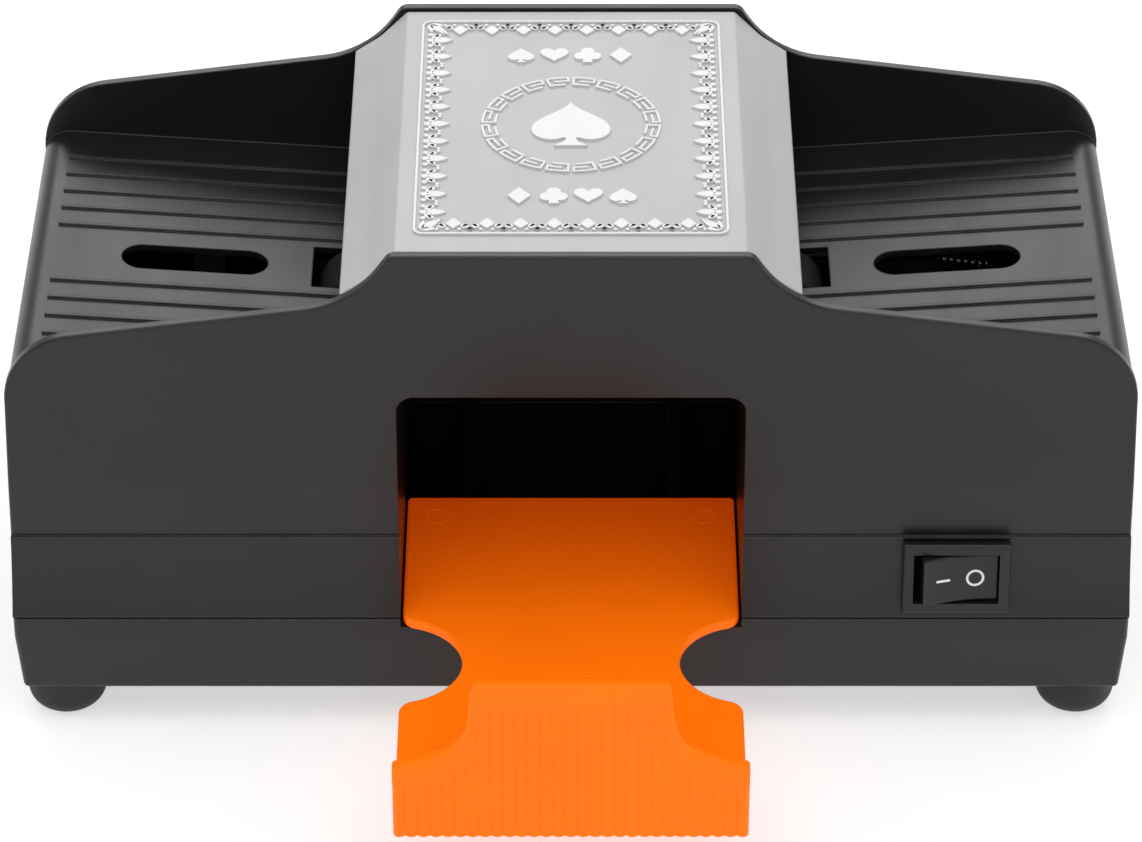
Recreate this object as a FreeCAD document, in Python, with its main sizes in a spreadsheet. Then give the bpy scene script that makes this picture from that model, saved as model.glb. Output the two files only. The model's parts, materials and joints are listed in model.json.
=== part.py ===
"""Automatic card shuffler: two hoppers feed cards into a centre bay with a slide-out tray.

Units are millimetres. X runs along the two hoppers, Y goes to the back and Z goes up from the
undersides of the feet. Pieces are drawn about the middle of the housing, and each one's
Placement then moves it back by `SHIFT`, which puts the middle of the whole length at Y = 0.
"""
import FreeCAD, Part
import math
import os
import re

import Sketcher
from FreeCAD import Placement, Rotation, Vector

SIZES = {
    # cards: a poker card is 63.5 by 88.9, and these are the gaps that pass it
    "bay_x": 33.4, "hopper_y": 45.0,
    # upper housing
    "wall_y": 47.0, "top_z": 109.6, "top_x": 34.1, "flank_x": 41.2, "flank_z": 98.9,
    "side_x": 107.9, "side_z": 76.0, "shoulder_z": 90.0, "shoulder_r": 15.0, "flank_r": 20.0,
    "low_x": 109.2, "seam_z": 27.2, "crease_z": 44.5, "crease_in": 0.5, "ledge": 0.5,
    "tuck_z": 57.0,
    "band_y": 49.5, "cove_r": 62.0, "rim_r": 0.5, "top_r": 2.5, "side_t": 2.0,
    "opening_z": 77.8, "opening_r": 3.5,
    # hopper decks
    "deck_in_x": 34.8, "deck_in_z": 75.64, "deck_slope": 4.11, "roll_x": 108.0,
    "deck_t": 1.5, "deck_r": 5.5, "rib_first": 10.0, "rib_pitch": 6.25, "rib_w": 0.8,
    "rib_high": 0.45, "rib_out_x": 102.0, "slot_in_x": 59.9, "slot_out_x": 88.8, "slot_y": 4.3,
    "window_x": 51.1, "window_y": 7.2, "cut_z": 69.2,
    # gates above the rollers and the silver cover between the walls
    "gate_x": 41.0, "gate_t": 1.4, "gate_low_z": 77.6, "gate_top_z": 98.6,
    "cover_y": 44.7, "cover_z": 109.0, "cover_x": 33.0, "cover_bend_x": 38.6,
    "cover_bend_z": 103.2, "cover_bend_r": 12.0, "cover_edge_x": 43.6, "cover_edge_z": 99.8,
    "cover_t": 1.8,
    # base casing
    "foot_h": 9.0, "floor_z": 11.4, "base_z": 26.8, "base_x": 109.2, "base_y": 49.5,
    "base_t": 2.6, "band_low_z": 22.0, "draft": 1.0, "rail_z": 24.7, "foot_x": 100.5,
    "foot_y": 39.5, "foot_r": 7.8, "foot_round": 4.0, "peg_r": 2.5,
    "screw_x": 50.0, "screw_y": 41.7, "boss_r": 3.5, "boss_z": 46.0, "screw_r": 1.2,
    "head_r": 2.6, "head_gap": 0.3, "rail_in_x": 20.0, "rail_w": 2.0, "sink": 0.3,
    # battery bay of two cells, its sliding door and its contacts
    "bay_in_x": 59.5, "bay_out_x": 91.0, "bay_y": 30.0, "rib_t": 1.5, "bay_top_z": 25.0,
    "door_in_x": 58.0, "door_y": 29.2, "door_low_z": 9.2, "door_t": 1.6, "tongue": 1.2,
    "door_gap": 0.3, "cell_x": 67.4, "cell_pitch": 15.6, "cell_z": 18.9, "grip_x": 96.0,
    "grip_pitch": 2.0, "grip_y": 9.0, "contact_half": 5.0, "contact_t": 0.4, "button_r": 2.5,
    # card tray
    "tray_y": 95.6, "tray_in_y": 9.0, "tray_x": 32.9, "tray_z": 27.0, "tray_t": 2.0,
    "notch_y": 63.0, "notch_r": 12.9, "notch_x": 21.0, "notch_round": 3.5, "lip_x": 33.8,
    "lip_t": 3.0, "lip_low_z": 9.9, "lip_side_z": 26.2, "lip_top_z": 46.0, "lip_flat_x": 18.6,
    "lip_bend_x": 19.9, "lip_bend_z": 31.5, "lip_r": 10.0,
    # power switch
    "switch_x": 74.9, "switch_z": 36.5, "switch_y": 48.35, "lean": 8.3, "bezel_x": 10.4,
    "bezel_z": 7.6, "bezel_t": 1.6, "can_x": 9.4, "can_z": 6.4, "can_deep": 14.0,
    "well_x": 8.35, "rocker_x": 7.4, "rocker_z": 5.0, "rocker_gap": 0.35, "rocker_up": 2.2,
    "rocker_hollow_r": 31.0, "rocker_pin_y": 1.5, "rocker_pin_r": 0.85, "rock": 12.0,
    "blade_x": 4.0, "blade_half": 2.4, "blade_t": 0.8,
    # feed unit: rubber roller, gears of module 0.5 and a small motor on one sprung arm
    "roller_x": 42.6, "roller_z": 69.5, "roller_r": 7.5, "hub_r": 4.6, "roller_half": 6.0,
    "shaft_r": 1.5, "shaft_front": 10.4, "shaft_back": 13.6, "bush_r": 2.5,
    "plate_t": 1.5, "cheek_y": 9.5, "inner_y": 8.0, "outer_y": 17.5,
    "idler_x": 45.65, "idler_z": 63.2, "idler_r": 1.0, "motor_x": 57.5, "motor_z": 59.2,
    "motor_r": 10.0, "motor_flat": 7.6, "motor_t": 0.8, "motor_y": 19.0, "cap_y": 38.0,
    "motor_back": 44.2, "spindle_r": 1.0, "rotor_r": 6.4,
    "winding_r": 1.1, "contact_r": 2.4, "motor_nose_r": 3.0, "motor_screw_x": 6.5,
    "motor_screw_r": 1.0, "arm_low_z": 49.0, "pivot_x": 72.0, "pivot_z": 64.0, "pivot_r": 1.5,
    "pivot_front": 7.5, "pivot_back": 22.5, "bar_x": 71.3, "bar_z": 71.0, "bar_r": 0.9,
    "spring_y": 12.5, "post_x": 86.2, "post_r": 1.3, "post_z": 67.6, "running": 0.05,
}
SHIFT = "(tray_y - band_y) / 2"
WORD = re.compile(r"[a-z]\w*")

doc = FreeCAD.newDocument("CardShuffler")
sheet = doc.addObject("Spreadsheet::Sheet", "Sizes")
nodes = []


# ---------------------------------------------------------------- sheet and sketch helpers
def fill_sheet():
    for row, (name, size) in enumerate(SIZES.items(), 1):
        sheet.set(f"A{row}", name)
        sheet.set(f"B{row}", str(size))
        sheet.setAlias(f"B{row}", name)
    doc.recompute()


def linked(text):
    """Turn size names into references to the sheet."""
    return WORD.sub(lambda m: f"Sizes.{m[0]}" if m[0] in SIZES else m[0], str(text))


def value(text):
    return float(sheet.evalExpression(linked(text)))


def bind(thing, prop, text):
    thing.setExpression(prop, linked(text))


def new_body(label):
    body = doc.addObject("PartDesign::Body", label)
    body.Label = label
    body.AllowCompound = True
    return body


def new_sketch(body, plane, level):
    """Attach a sketch to an origin plane, raised along the plane's own normal."""
    sketch = body.newObject("Sketcher::SketchObject", "Sketch")
    origin = next(f for f in body.Origin.OriginFeatures if f.Role == f"{plane}_Plane")
    sketch.AttachmentSupport = [(origin, "")]
    sketch.MapMode = "FlatFace"
    bind(sketch, "AttachmentOffset.Base.z", level)
    return sketch


def constrain(sketch, *args, text):
    index = sketch.addConstraint(Sketcher.Constraint(*args, value(text)))
    bind(sketch, f"Constraints[{index}]", text)


def add_edge(sketch, start, stop, radius):
    """Add a line, or an arc where a signed radius is given (positive turns left)."""
    if radius is None:
        return sketch.addGeometry(Part.LineSegment(start, stop), False), 1, 2
    size = value(radius)
    chord = stop - start
    rise = math.sqrt(size ** 2 - (chord.Length / 2) ** 2)
    left = Vector(-chord.y, chord.x, 0).normalize()
    centre = (start + stop) * 0.5 + left * math.copysign(rise, size)
    first, last = (start, stop) if size > 0 else (stop, start)
    angles = [math.atan2(p.y - centre.y, p.x - centre.x) for p in (first, last)]
    circle = Part.Circle(centre, Vector(0, 0, 1), abs(size))
    index = sketch.addGeometry(Part.ArcOfCircle(circle, *angles), False)
    constrain(sketch, "Radius", index, text=f"abs({radius})")
    return (index, 1, 2) if size > 0 else (index, 2, 1)


def draw_outline(sketch, corners, arcs=None):
    """Close a wire through the corners, each fixed to the origin by sizes from the sheet."""
    arcs = arcs or {}
    points = [Vector(value(x), value(y), 0) for x, y in corners]
    edges = []
    for index, start in enumerate(points):
        stop = points[(index + 1) % len(points)]
        edges.append(add_edge(sketch, start, stop, arcs.get(index)))
    for index, (edge, head, _) in enumerate(edges):
        before, _, tail = edges[index - 1]
        sketch.addConstraint(Sketcher.Constraint("Coincident", before, tail, edge, head))
        constrain(sketch, "DistanceX", -1, 1, edge, head, text=corners[index][0])
        constrain(sketch, "DistanceY", -1, 1, edge, head, text=corners[index][1])


def draw_circle(sketch, x, y, radius):
    circle = Part.Circle(Vector(value(x), value(y), 0), Vector(0, 0, 1), value(radius))
    index = sketch.addGeometry(circle, False)
    constrain(sketch, "DistanceX", -1, 1, index, 3, text=x)
    constrain(sketch, "DistanceY", -1, 1, index, 3, text=y)
    constrain(sketch, "Radius", index, text=radius)


def extrude(body, kind, plane, low, high, outlines=(), arcs=None, circles=()):
    """Pad or pocket from low to high along the axis that is square to the plane."""
    sketch = new_sketch(body, plane, f"-({high})" if plane == "XZ" else low)
    for corners in outlines:
        draw_outline(sketch, corners, arcs)
    for circle in circles:
        draw_circle(sketch, *circle)
    feature = body.newObject(f"PartDesign::{kind}", kind)
    feature.Profile = sketch
    bind(feature, "Length", f"({high}) - ({low})")
    feature.Reversed = kind == "Pocket"
    return feature


def pad(body, plane, low, high, outlines=(), arcs=None, circles=()):
    return extrude(body, "Pad", plane, low, high, outlines, arcs, circles)


def pocket(body, plane, low, high, outlines=(), arcs=None, circles=()):
    return extrude(body, "Pocket", plane, low, high, outlines, arcs, circles)


def box(x0, x1, y0, y1):
    return [(x0, y0), (x1, y0), (x1, y1), (x0, y1)]


def mirrored(corners):
    """The same outline on the other side of X = 0."""
    return [(f"-({x})", y) for x, y in reversed(corners)]


def both(corners):
    return [corners, mirrored(corners)]


def round_edges(body, radius, wanted):
    """Fillet the edges of the body so far whose middle and direction are wanted."""
    doc.recompute()
    base = body.Tip
    names = []
    for index, edge in enumerate(base.Shape.Edges, 1):
        middle = edge.valueAt((edge.FirstParameter + edge.LastParameter) / 2)
        along = edge.tangentAt((edge.FirstParameter + edge.LastParameter) / 2)
        if wanted(edge, middle, along):
            names.append(f"Edge{index}")
    fillet = body.newObject("PartDesign::Fillet", "Fillet")
    fillet.Base = (base, names)
    bind(fillet, "Radius", radius)


def close(first, second, gap=0.05):
    return abs(first - second) < gap


def place(piece, side=1):
    """Turn a left-hand piece half a turn about Z, then move it back with the rest."""
    piece.Placement = Placement(Vector(), Rotation(Vector(0, 0, 1), 0 if side > 0 else 180))
    bind(piece, "Placement.Base.y", SHIFT)
    nodes.append(piece)


def add_shape(label, shape, side=1):
    """A sub-part whose solid is worked out in code from the sheet's sizes."""
    piece = doc.addObject("Part::Feature", label)
    piece.Label = label
    piece.Shape = shape
    place(piece, side)


# ---------------------------------------------------------------- upper housing
def wall_outline():
    """The front view of the housing above the seam, before its corners are rounded."""
    right = [("low_x", "seam_z"), ("side_x", "side_z"), ("side_x", "shoulder_z"),
             ("flank_x", "flank_z"), ("top_x", "top_z")]
    return right + [(f"-{x}", z) for x, z in reversed(right)]


def wall_section():
    """The section from front to back: the walls tuck in above a band that flares out."""
    back = [("band_y", "seam_z"), ("wall_y - crease_in", "crease_z"),
            ("wall_y - crease_in - ledge", "crease_z"), ("wall_y", "tuck_z"),
            ("wall_y", "top_z + 1")]
    return back + [(f"-({y})", z) for y, z in reversed(back)]


def deck_z(x, drop="0"):
    """Height of the deck's top at x, or of what lies a drop below it."""
    return f"deck_in_z + ({x} - deck_in_x) * tan(deck_slope) - ({drop})"


def build_upper_housing():
    body = new_body("upper_housing")
    pad(body, "YZ", "-low_x - 1", "low_x + 1", [wall_section()], {0: "-cove_r", 8: "-cove_r"})
    frame = box("-low_x - 3", "low_x + 3", "seam_z - 3", "top_z + 3")
    pocket(body, "XZ", "-band_y - 1", "band_y + 1", [frame, wall_outline()])
    round_edges(body, "shoulder_r", lambda edge, middle, along: close(abs(along.y), 1)
                and close(middle.z, value("shoulder_z")))
    round_edges(body, "flank_r", lambda edge, middle, along: close(abs(along.y), 1)
                and close(middle.z, value("flank_z")))
    round_edges(body, "top_r", lambda edge, middle, along: close(abs(along.y), 1)
                and close(middle.z, value("top_z")))
    inner = ("deck_in_x", "deck_in_z")
    roll_z = f"{deck_z('roll_x - deck_r')} - deck_r / cos(deck_slope)"
    right = [inner,
             ("roll_x - deck_r * (1 + sin(deck_slope))", f"{roll_z} + deck_r * cos(deck_slope)"),
             ("roll_x", roll_z), ("low_x + 3", roll_z), ("low_x + 3", "top_z + 1")]
    above = right + [(f"-({x})", z) for x, z in reversed(right)]
    pocket(body, "XZ", "-hopper_y", "hopper_y", [above], {1: "-deck_r", 7: "-deck_r"})
    hollow_housing(body)
    cut_front_opening(body)
    add_deck_details(body)
    add_housing_bosses(body)
    place(body)


def hollow_housing(body):
    """The bay runs down the middle, and a space for a feed unit lies under each deck."""
    pocket(body, "XZ", "-hopper_y", "hopper_y", [box("-bay_x", "bay_x", "seam_z - 1", "top_z")])
    under = [("deck_in_x", "seam_z - 1"), ("low_x - side_t", "seam_z - 1"),
             ("side_x - side_t", "side_z - 4"), ("side_x - side_t - 5", deck_z("102", "deck_t")),
             ("deck_in_x", deck_z("deck_in_x", "deck_t"))]
    pocket(body, "XZ", "-hopper_y", "hopper_y", both(under))


def cut_front_opening(body):
    pocket(body, "XZ", "-band_y - 1", "-hopper_y + 0.5",
           [box("-bay_x", "bay_x", "seam_z - 1", "opening_z")])
    round_edges(body, "opening_r", lambda edge, middle, along: close(abs(along.y), 1)
                and close(middle.z, value("opening_z")) and middle.y < -45)
    round_edges(body, "rim_r", lambda edge, middle, along: middle.z > 89
                and close(abs(middle.y), value("wall_y")) and close(along.y, 0))


def add_deck_details(body):
    pocket(body, "XY", "cut_z", "top_z", both(box("slot_in_x + slot_y",
           "slot_out_x - slot_y", "-slot_y", "slot_y")))
    ends = [(f"{sign}({x})", "0", "slot_y") for sign in ("", "-")
            for x in ("slot_in_x + slot_y", "slot_out_x - slot_y")]
    pocket(body, "XY", "cut_z", "top_z", circles=ends)
    pocket(body, "XY", "roller_z - 4", "top_z - 12", both(box("bay_x - 1", "window_x",
           "-window_y", "window_y")))
    rib = [("deck_in_x", deck_z("deck_in_x", "0.4")), ("rib_out_x", deck_z("rib_out_x", "0.4")),
           ("rib_out_x", deck_z("rib_out_x", "-rib_high")),
           ("deck_in_x", deck_z("deck_in_x", "-rib_high"))]
    for row in range(5):
        for sign in ("", "-"):
            middle = f"{sign}(rib_first + {row} * rib_pitch)"
            pad(body, "XZ", f"{middle} - rib_w / 2", f"{middle} + rib_w / 2", both(rib))
    gate = box("gate_x - gate_t", "gate_x", "gate_low_z", "gate_top_z")
    pad(body, "XZ", "-hopper_y - 0.5", "hopper_y + 0.5", both(gate))


def add_housing_bosses(body):
    """Screw bosses, the arm's pivot brackets, the spring posts and the switch's cut-out."""
    corners = [(f"{sx}screw_x", f"{sy}screw_y") for sx in ("", "-") for sy in ("", "-")]
    pad(body, "XY", "seam_z", "boss_z", circles=[(x, y, "boss_r") for x, y in corners])
    pocket(body, "XY", "seam_z - 1", "boss_z - 4",
           circles=[(x, y, "screw_r + running") for x, y in corners])
    hanger = [("pivot_x - 3", "pivot_z"), ("pivot_x + 3", "pivot_z"),
              ("pivot_x + 3", deck_z("pivot_x + 3", "0.7")),
              ("pivot_x - 3", deck_z("pivot_x - 3", "0.7"))]
    spans = [("-pivot_front", "-pivot_front + 2"), ("pivot_back - 2", "pivot_back")]
    for low, high in spans:
        for turn in (1, -1):
            first, last = (low, high) if turn > 0 else (f"-({high})", f"-({low})")
            lower = {0: "3.001"}
            shape = hanger if turn > 0 else mirrored(hanger)
            bend = lower if turn > 0 else {2: "3.001"}
            pad(body, "XZ", first, last, [shape], bend)
            x = "pivot_x" if turn > 0 else "-pivot_x"
            pocket(body, "XZ", first, last, circles=[(x, "pivot_z", "pivot_r + running / 2")])
    posts = [("post_x", "spring_y", "post_r"), ("-post_x", "-spring_y", "post_r")]
    pad(body, "XY", "post_z", deck_z("post_x", "0.8"), circles=posts)
    cut = box("switch_x - can_x - 0.1", "switch_x + can_x + 0.1", "switch_z - can_z - 0.8",
              "switch_z + can_z + 0.2")
    pocket(body, "XZ", "-band_y - 1", "-hopper_y + 0.5", [cut])


# ---------------------------------------------------------------- silver cover
def build_top_cover():
    body = new_body("top_cover")
    right = [("cover_edge_x", "cover_edge_z"), ("cover_bend_x", "cover_bend_z"),
             ("cover_x", "cover_z")]
    inside = [("cover_edge_x - 2.3", "cover_edge_z"),
              ("cover_bend_x - 1", "cover_bend_z - cover_t * 1.1"),
              ("cover_x - 0.9", "cover_z - cover_t")]
    outer = right + [(f"-({x})", z) for x, z in reversed(right)]
    inner = [(f"-({x})", z) for x, z in inside] + list(reversed(inside))
    pad(body, "XZ", "-cover_y", "cover_y", [outer + inner])
    round_edges(body, "cover_bend_r", lambda edge, middle, along: close(abs(along.y), 1)
                and close(middle.z, value("cover_bend_z")))
    round_edges(body, "1.2", lambda edge, middle, along: close(abs(along.y), 1)
                and close(middle.z, value("cover_z")))
    tab = box("gate_x - gate_t - 2", "gate_x - gate_t - 0.3", "gate_top_z - 4",
              "cover_bend_z - 1.2")
    for low, high in (("-30", "-18"), ("18", "30")):
        pad(body, "XZ", low, high, both(tab))
    round_edges(body, "0.35", lambda edge, middle, along: close(abs(middle.y), value("cover_y"))
                and middle.z > 100.5 and edge.Length > 5 and abs(middle.x) < 60
                and close(middle.z, value("cover_z"), 0.02))
    place(body)


# ---------------------------------------------------------------- base casing
def build_base_casing():
    body = new_body("base_casing")
    low = box("-base_x + draft", "base_x - draft", "-base_y + draft", "base_y - draft")
    skirt = pad(body, "XY", "foot_h", "band_low_z", [low])
    bind(skirt, "TaperAngle", "atan(draft / (band_low_z - foot_h))")
    pad(body, "XY", "band_low_z", "base_z", [box("-base_x", "base_x", "-base_y", "base_y")])
    round_edges(body, "1.2", lambda edge, middle, along: close(abs(along.z), 1))
    round_edges(body, "0.9", lambda edge, middle, along: close(middle.z, value("foot_h")))
    room = box("-base_x + base_t", "base_x - base_t", "-base_y + base_t", "base_y - base_t")
    pocket(body, "XY", "floor_z", "base_z + 1", [room])
    add_base_ribs(body)
    cut_base_holes(body)
    place(body)


def add_base_ribs(body):
    """Walls beside the bay, rails under the tray, bosses, and a frame round each pair of cells."""
    reach = "base_y - base_t + 0.3"
    side_wall = box("bay_x", "deck_in_x", f"-({reach})", reach)
    pad(body, "XY", "floor_z - sink", "base_z", both(side_wall))
    rail = box("rail_in_x", "rail_in_x + rail_w", f"-({reach})", reach)
    pad(body, "XY", "floor_z - sink", "rail_z", both(rail))
    frame = box("bay_in_x - rib_t", "bay_out_x + rib_t", "-bay_y - rib_t", "bay_y + rib_t")
    hollow = box("bay_in_x", "bay_out_x", "-bay_y", "bay_y")
    pad(body, "XY", "floor_z - sink", "bay_top_z", both(frame) + both(hollow))
    bosses = [(f"{sx}screw_x", f"{sy}screw_y", "boss_r") for sx in ("", "-") for sy in ("", "-")]
    pad(body, "XY", "floor_z - sink", "base_z", circles=bosses)


def cut_base_holes(body):
    pocket(body, "XY", "rail_z", "base_z + 1", [box("-bay_x", "bay_x", "-base_y - 1",
           "-base_y + base_t + 0.5")])
    corners = [(f"{sx}screw_x", f"{sy}screw_y") for sx in ("", "-") for sy in ("", "-")]
    pocket(body, "XY", "foot_h - 1", "base_z + 1",
           circles=[(x, y, "screw_r + 0.2") for x, y in corners])
    pocket(body, "XY", "foot_h - 1", "foot_h + 4",
           circles=[(x, y, "head_r + head_gap") for x, y in corners])
    feet = [(f"{sx}foot_x", f"{sy}foot_y") for sx in ("", "-") for sy in ("", "-")]
    pocket(body, "XY", "foot_h - 1", "floor_z + 1",
           circles=[(x, y, "peg_r + running") for x, y in feet])
    opening = box("door_in_x - door_gap", "base_x + 1", "-door_y - door_gap", "door_y + door_gap")
    pocket(body, "XY", "foot_h - 1", "floor_z + 0.1", both(opening))
    groove = box("door_in_x - door_gap", "base_x + 1", "-door_y - tongue - door_gap",
                 "door_y + tongue + door_gap")
    pocket(body, "XY", "foot_h + 1", "foot_h + 2", both(groove))


def build_feet():
    """Rubber feet, each a bowl with a peg that fills a hole in the base's floor."""
    for name, sx, sy in (("front_left", "-", "-"), ("front_right", "", "-"),
                         ("back_left", "-", ""), ("back_right", "", "")):
        foot = new_body(f"foot_{name}")
        pad(foot, "XY", "0", "foot_h", circles=[(f"{sx}foot_x", f"{sy}foot_y", "foot_r")])
        round_edges(foot, "foot_round", lambda edge, middle, along: close(middle.z, 0))
        pad(foot, "XY", "foot_h - 1", "floor_z + 1",
            circles=[(f"{sx}foot_x", f"{sy}foot_y", "peg_r")])
        place(foot)


def build_case_screws():
    """Four screws that hold the base to the housing, driven from below."""
    body = new_body("case_screws")
    corners = [(f"{sx}screw_x", f"{sy}screw_y") for sx in ("", "-") for sy in ("", "-")]
    pad(body, "XY", "foot_h + 2.2", "foot_h + 4", circles=[(x, y, "head_r") for x, y in corners])
    pad(body, "XY", "foot_h + 4", "boss_z - 6", circles=[(x, y, "screw_r") for x, y in corners])
    slots = [box(f"{x} - 1.4", f"{x} + 1.4", f"{y} - 0.3", f"{y} + 0.3") for x, y in corners]
    pocket(body, "XY", "foot_h + 2", "foot_h + 3", slots)
    place(body)


# ---------------------------------------------------------------- batteries
def build_battery_parts(name, side):
    door = new_body(f"battery_door_{name}")
    pad(door, "XY", "door_low_z", "door_low_z + door_t",
        [box("door_in_x", "base_x - draft", "-door_y", "door_y")])
    pad(door, "XY", "door_low_z + door_t - 0.6", "door_low_z + door_t",
        [box("door_in_x", "base_x - draft - 0.6", "-door_y - tongue + 0.1",
             "door_y + tongue - 0.1")])
    for row in range(5):
        pocket(door, "XY", "door_low_z - 1", "door_low_z + 0.5",
               [box(f"grip_x + grip_pitch * {row}", f"grip_x + grip_pitch * ({row} + 0.5)",
                    "-grip_y", "grip_y")])
    place(door, side)
    cells = ["cell_x", "cell_x + cell_pitch"]
    contacts = new_body(f"battery_contacts_{name}")
    plates = [box(f"{x} - contact_half", f"{x} + contact_half", "cell_z - contact_half",
                  "cell_z + contact_half") for x in cells]
    pad(contacts, "XZ", "bay_y - running - contact_t", "bay_y - running", plates)
    pad(contacts, "XZ", "bay_y - 3 * contact_t", "bay_y - running - contact_t",
        circles=[(x, "cell_z", "button_r") for x in cells])
    place(contacts, side)
    add_shape(f"battery_springs_{name}", battery_springs(), side)


def battery_springs():
    """Two wire cones, each standing on its own plate at the cells' negative ends."""
    half = value("contact_half")
    pitch, tall, wide, cone, wire = 1.5, 5.0, 3.4, -14, 0.3
    solids = []
    for step in (0, 1):
        x = value("cell_x") + step * value("cell_pitch")
        foot = Vector(x, value("running - bay_y"), value("cell_z"))
        plate = Part.makeBox(2 * half, value("contact_t"), 2 * half, foot - Vector(half, 0, half))
        helix = Part.makeHelix(pitch, tall, wide, cone)
        ring = Part.Wire(Part.makeCircle(wire, Vector(wide, 0, 0), Vector(0, 1, 0)))
        coil = Part.Wire(helix.Edges).makePipeShell([ring], True, True)
        coil.Placement = Placement(foot + Vector(0, 0.5, 0), Rotation(Vector(1, 0, 0), -90))
        solids.append(plate.fuse(coil))
    return Part.makeCompound(solids)


# ---------------------------------------------------------------- card tray
def build_card_tray():
    """A flat plate with two finger notches, and a lip that swells to a high middle."""
    body = new_body("card_tray")
    pad(body, "XY", "tray_z - tray_t", "tray_z",
        [box("-tray_x", "tray_x", "-tray_y + lip_t / 2", "-tray_in_y")])
    pocket(body, "XY", "tray_z - tray_t - 1", "tray_z + 1", circles=[
        (f"{sign}(notch_x + notch_r)", "-notch_y", "notch_r") for sign in ("", "-")])
    round_edges(body, "notch_round", lambda edge, middle, along: close(abs(along.z), 1)
                and close(abs(middle.x), value("tray_x"))
                and close(middle.y, -value("notch_y"), value("notch_r")))
    side = [("lip_x", "lip_low_z"), ("lip_x", "lip_side_z"), ("lip_bend_x", "lip_bend_z"),
            ("lip_flat_x", "lip_top_z")]
    lip = side + [(f"-{x}", z) for x, z in reversed(side)]
    pad(body, "XZ", "-tray_y", "-tray_y + lip_t", [lip])
    round_edges(body, "lip_r", lambda edge, middle, along: close(abs(along.y), 1)
                and close(middle.z, value("lip_bend_z")))
    round_edges(body, "1", lambda edge, middle, along: close(abs(along.z), 1)
                and close(middle.y, -value("tray_in_y")))
    round_edges(body, "0.9", lambda edge, middle, along: middle.z > value("lip_side_z") + 0.5
                and close(middle.y, -value("tray_y")))
    round_edges(body, "0.8", lambda edge, middle, along: close(abs(along.z), 1)
                and close(abs(middle.x), value("lip_x")) and close(middle.y, -value("tray_y")))
    place(body)


# ---------------------------------------------------------------- power switch
def lean_back(piece, turn=0):
    """Set a switch piece on the leaning band of the front wall, turned about its own upright."""
    upright = Rotation(Vector(0, 0, 1), turn)
    lean = Rotation(Vector(1, 0, 0), -value("lean"))
    pin = Vector(0, value("rocker_pin_y"), 0)
    turned = Placement(pin - upright.multVec(pin), upright)
    seat = Placement(Vector(value("switch_x"), -value("switch_y"), value("switch_z")), lean)
    piece.Placement = seat.multiply(turned)
    base = piece.Placement.Base
    bind(piece, "Placement.Base.y", f"{base.y:.6f} + {SHIFT}")
    nodes.append(piece)


def build_switch():
    body = new_body("switch_body")
    bezel = box("-bezel_x", "bezel_x", "-bezel_z", "bezel_z")
    pad(body, "XZ", "-bezel_t", "0", [bezel])
    round_edges(body, "0.6", lambda edge, middle, along: close(middle.y, -value("bezel_t")))
    pad(body, "XZ", "0", "can_deep", [box("-can_x", "can_x", "-can_z", "can_z")])
    well = box("-well_x", "well_x", "-rocker_z - rocker_gap", "rocker_z + rocker_gap")
    pocket(body, "XZ", "-bezel_t - 1", "can_deep - 4", [well])
    pocket(body, "XY", "-can_z + 0.3", "can_z - 0.3",
           circles=[("0", "rocker_pin_y", "rocker_pin_r + 0.1")])
    lean_back(body)
    rocker = new_body("switch_rocker")
    side = [("-rocker_x", "-rocker_up"), ("rocker_x", "-rocker_up"), ("rocker_x - 0.6", "3.6"),
            ("3", "6"), ("-3", "6"), ("-rocker_x + 0.6", "3.6")]
    pad(rocker, "XY", "-rocker_z", "rocker_z", [side], {0: "-rocker_hollow_r"})
    pad(rocker, "XY", "-rocker_z - 0.9", "rocker_z + 0.9",
        circles=[("0", "rocker_pin_y", "rocker_pin_r")])
    round_edges(rocker, "0.4", lambda edge, middle, along: middle.y < -0.5
                and close(abs(middle.z), value("rocker_z")) and edge.Length > 4)
    lean_back(rocker, value("rock"))
    terminals = new_body("switch_terminals")
    blades = [box(f"{x} - blade_t / 2", f"{x} + blade_t / 2", "-blade_half", "blade_half")
              for x in ("-blade_x", "blade_x")]
    pad(terminals, "XZ", "can_deep + 0.02", "can_deep + 7", blades)
    lean_back(terminals)


# ---------------------------------------------------------------- gears
def gear_outline(teeth, module, turn, addendum=0.9, dedendum=1.15, thin=0.11):
    """Part.Wire of involute teeth in the XZ plane; turn is the direction of one tooth."""
    pitch = teeth * module / 2
    base = pitch * math.cos(math.radians(20))
    tip, root = pitch + addendum * module, pitch - dedendum * module
    spread = math.tan(math.radians(20)) - math.radians(20)
    half = math.pi / (2 * teeth) - thin * module / pitch

    def flank(radius):
        """Half the angle that a tooth spans at a radius."""
        if radius <= base:
            return half + spread
        pressure = math.acos(base / radius)
        return half + spread - (math.tan(pressure) - pressure)

    def spot(radius, angle):
        return Vector(radius * math.cos(angle), 0, radius * math.sin(angle))

    middle = (max(root, base) + tip) / 2
    edges = []
    for tooth in range(teeth):
        axis = turn + 2 * math.pi * tooth / teeth
        low = [spot(root, axis - flank(root)), spot(middle, axis - flank(middle)),
               spot(tip, axis - flank(tip))]
        high = [spot(tip, axis + flank(tip)), spot(middle, axis + flank(middle)),
                spot(root, axis + flank(root))]
        after = spot(root, axis + 2 * math.pi / teeth - flank(root))
        valley = spot(root, axis + math.pi / teeth)
        edges += [Part.Arc(*low).toShape(), Part.Arc(low[2], spot(tip, axis), high[0]).toShape(),
                  Part.Arc(*high).toShape(), Part.Arc(high[2], valley, after).toShape()]
    return Part.Wire(edges)


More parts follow.
